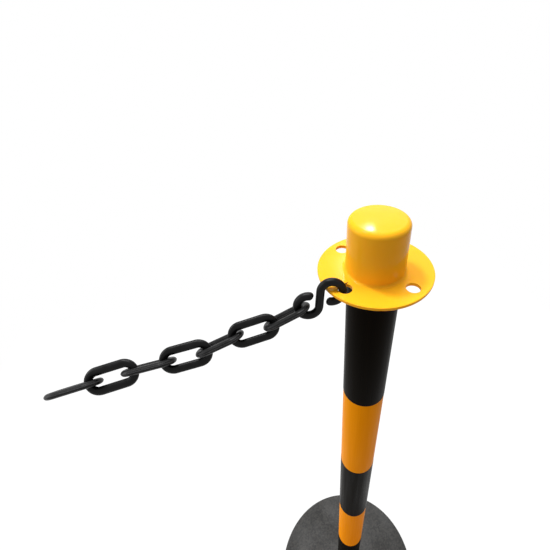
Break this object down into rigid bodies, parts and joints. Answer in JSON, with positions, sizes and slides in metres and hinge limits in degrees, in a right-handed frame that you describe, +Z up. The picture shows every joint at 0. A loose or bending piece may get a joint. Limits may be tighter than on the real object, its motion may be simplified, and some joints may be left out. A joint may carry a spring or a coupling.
{
  "type": "plastic chain post",
  "caption": "Round barrier post on a heavy foot, with a black and yellow banded pipe, a yellow knob cap with an eyelet flange, and a plastic chain hung on by an S-hook.",
  "frame": {"origin": "centre of the foot's underside, on the floor", "axes": "+Z up along the pipe, -X the way the chain leads off the post"},
  "size_m": [0.3711, 0.28, 0.901],
  "materials": {
    "recycled_rubber": "matt black recycled rubber",
    "yellow_pipe": "satin yellow plastic pipe",
    "yellow_cap": "satin yellow moulded plastic",
    "black_film": "black film, satin",
    "black_plastic": "black moulded plastic, semi-gloss"
  },
  "bodies": {
    "post": {"base": "recycled_rubber", "tube": "yellow_pipe", "band_upper": "black_film", "band_middle": "black_film", "band_lower": "black_film", "cap": "yellow_cap"},
    "hook": {"s_hook": "black_plastic"},
    "link_1": {"chain_link_1": "black_plastic"},
    "link_2": {"chain_link_2": "black_plastic"},
    "link_3": {"chain_link_3": "black_plastic"},
    "link_4": {"chain_link_4": "black_plastic"},
    "link_5": {"chain_link_5": "black_plastic"},
    "link_6": {"chain_link_6": "black_plastic"},
    "link_7": {"chain_link_7": "black_plastic"}
  },
  "joints": [
    {"name": "hook_swing", "type": "hinge", "parent": "post", "child": "hook", "pos_m": [-0.03669, -0.01479, 0.85847], "axis": [0.1682, 0.9636, -0.2079], "range_deg": [-80, 100]},
    {"name": "link_1_swing", "type": "hinge", "parent": "hook", "child": "link_1", "pos_m": [-0.06002, -0.01342, 0.84596], "axis": [0.3714, -0.2573, -0.8921], "range_deg": [-110, 110]},
    {"name": "link_2_swing", "type": "hinge", "parent": "link_1", "child": "link_2", "pos_m": [-0.08259, -0.01342, 0.83657], "axis": [-0.1745, -0.891, 0.4191], "range_deg": [-110, 110]},
    {"name": "link_3_swing", "type": "hinge", "parent": "link_2", "child": "link_3", "pos_m": [-0.10696, -0.01342, 0.83257], "axis": [0.1452, -0.4384, -0.887], "range_deg": [-110, 110]},
    {"name": "link_4_swing", "type": "hinge", "parent": "link_3", "child": "link_4", "pos_m": [-0.1303, -0.01342, 0.82449], "axis": [0.1685, 0.8572, -0.4867], "range_deg": [-110, 110]},
    {"name": "link_5_swing", "type": "hinge", "parent": "link_4", "child": "link_5", "pos_m": [-0.15489, -0.01342, 0.82212], "axis": [-0.0808, 0.5373, 0.8395], "range_deg": [-110, 110]},
    {"name": "link_6_swing", "type": "hinge", "parent": "link_5", "child": "link_6", "pos_m": [-0.17952, -0.01342, 0.82032], "axis": [-0.049, -0.7431, 0.6673], "range_deg": [-110, 110]},
    {"name": "link_7_swing", "type": "hinge", "parent": "link_6", "child": "link_7", "pos_m": [-0.20395, -0.01342, 0.81662], "axis": [0.1194, -0.6018, -0.7897], "range_deg": [-110, 110]}
  ]
}
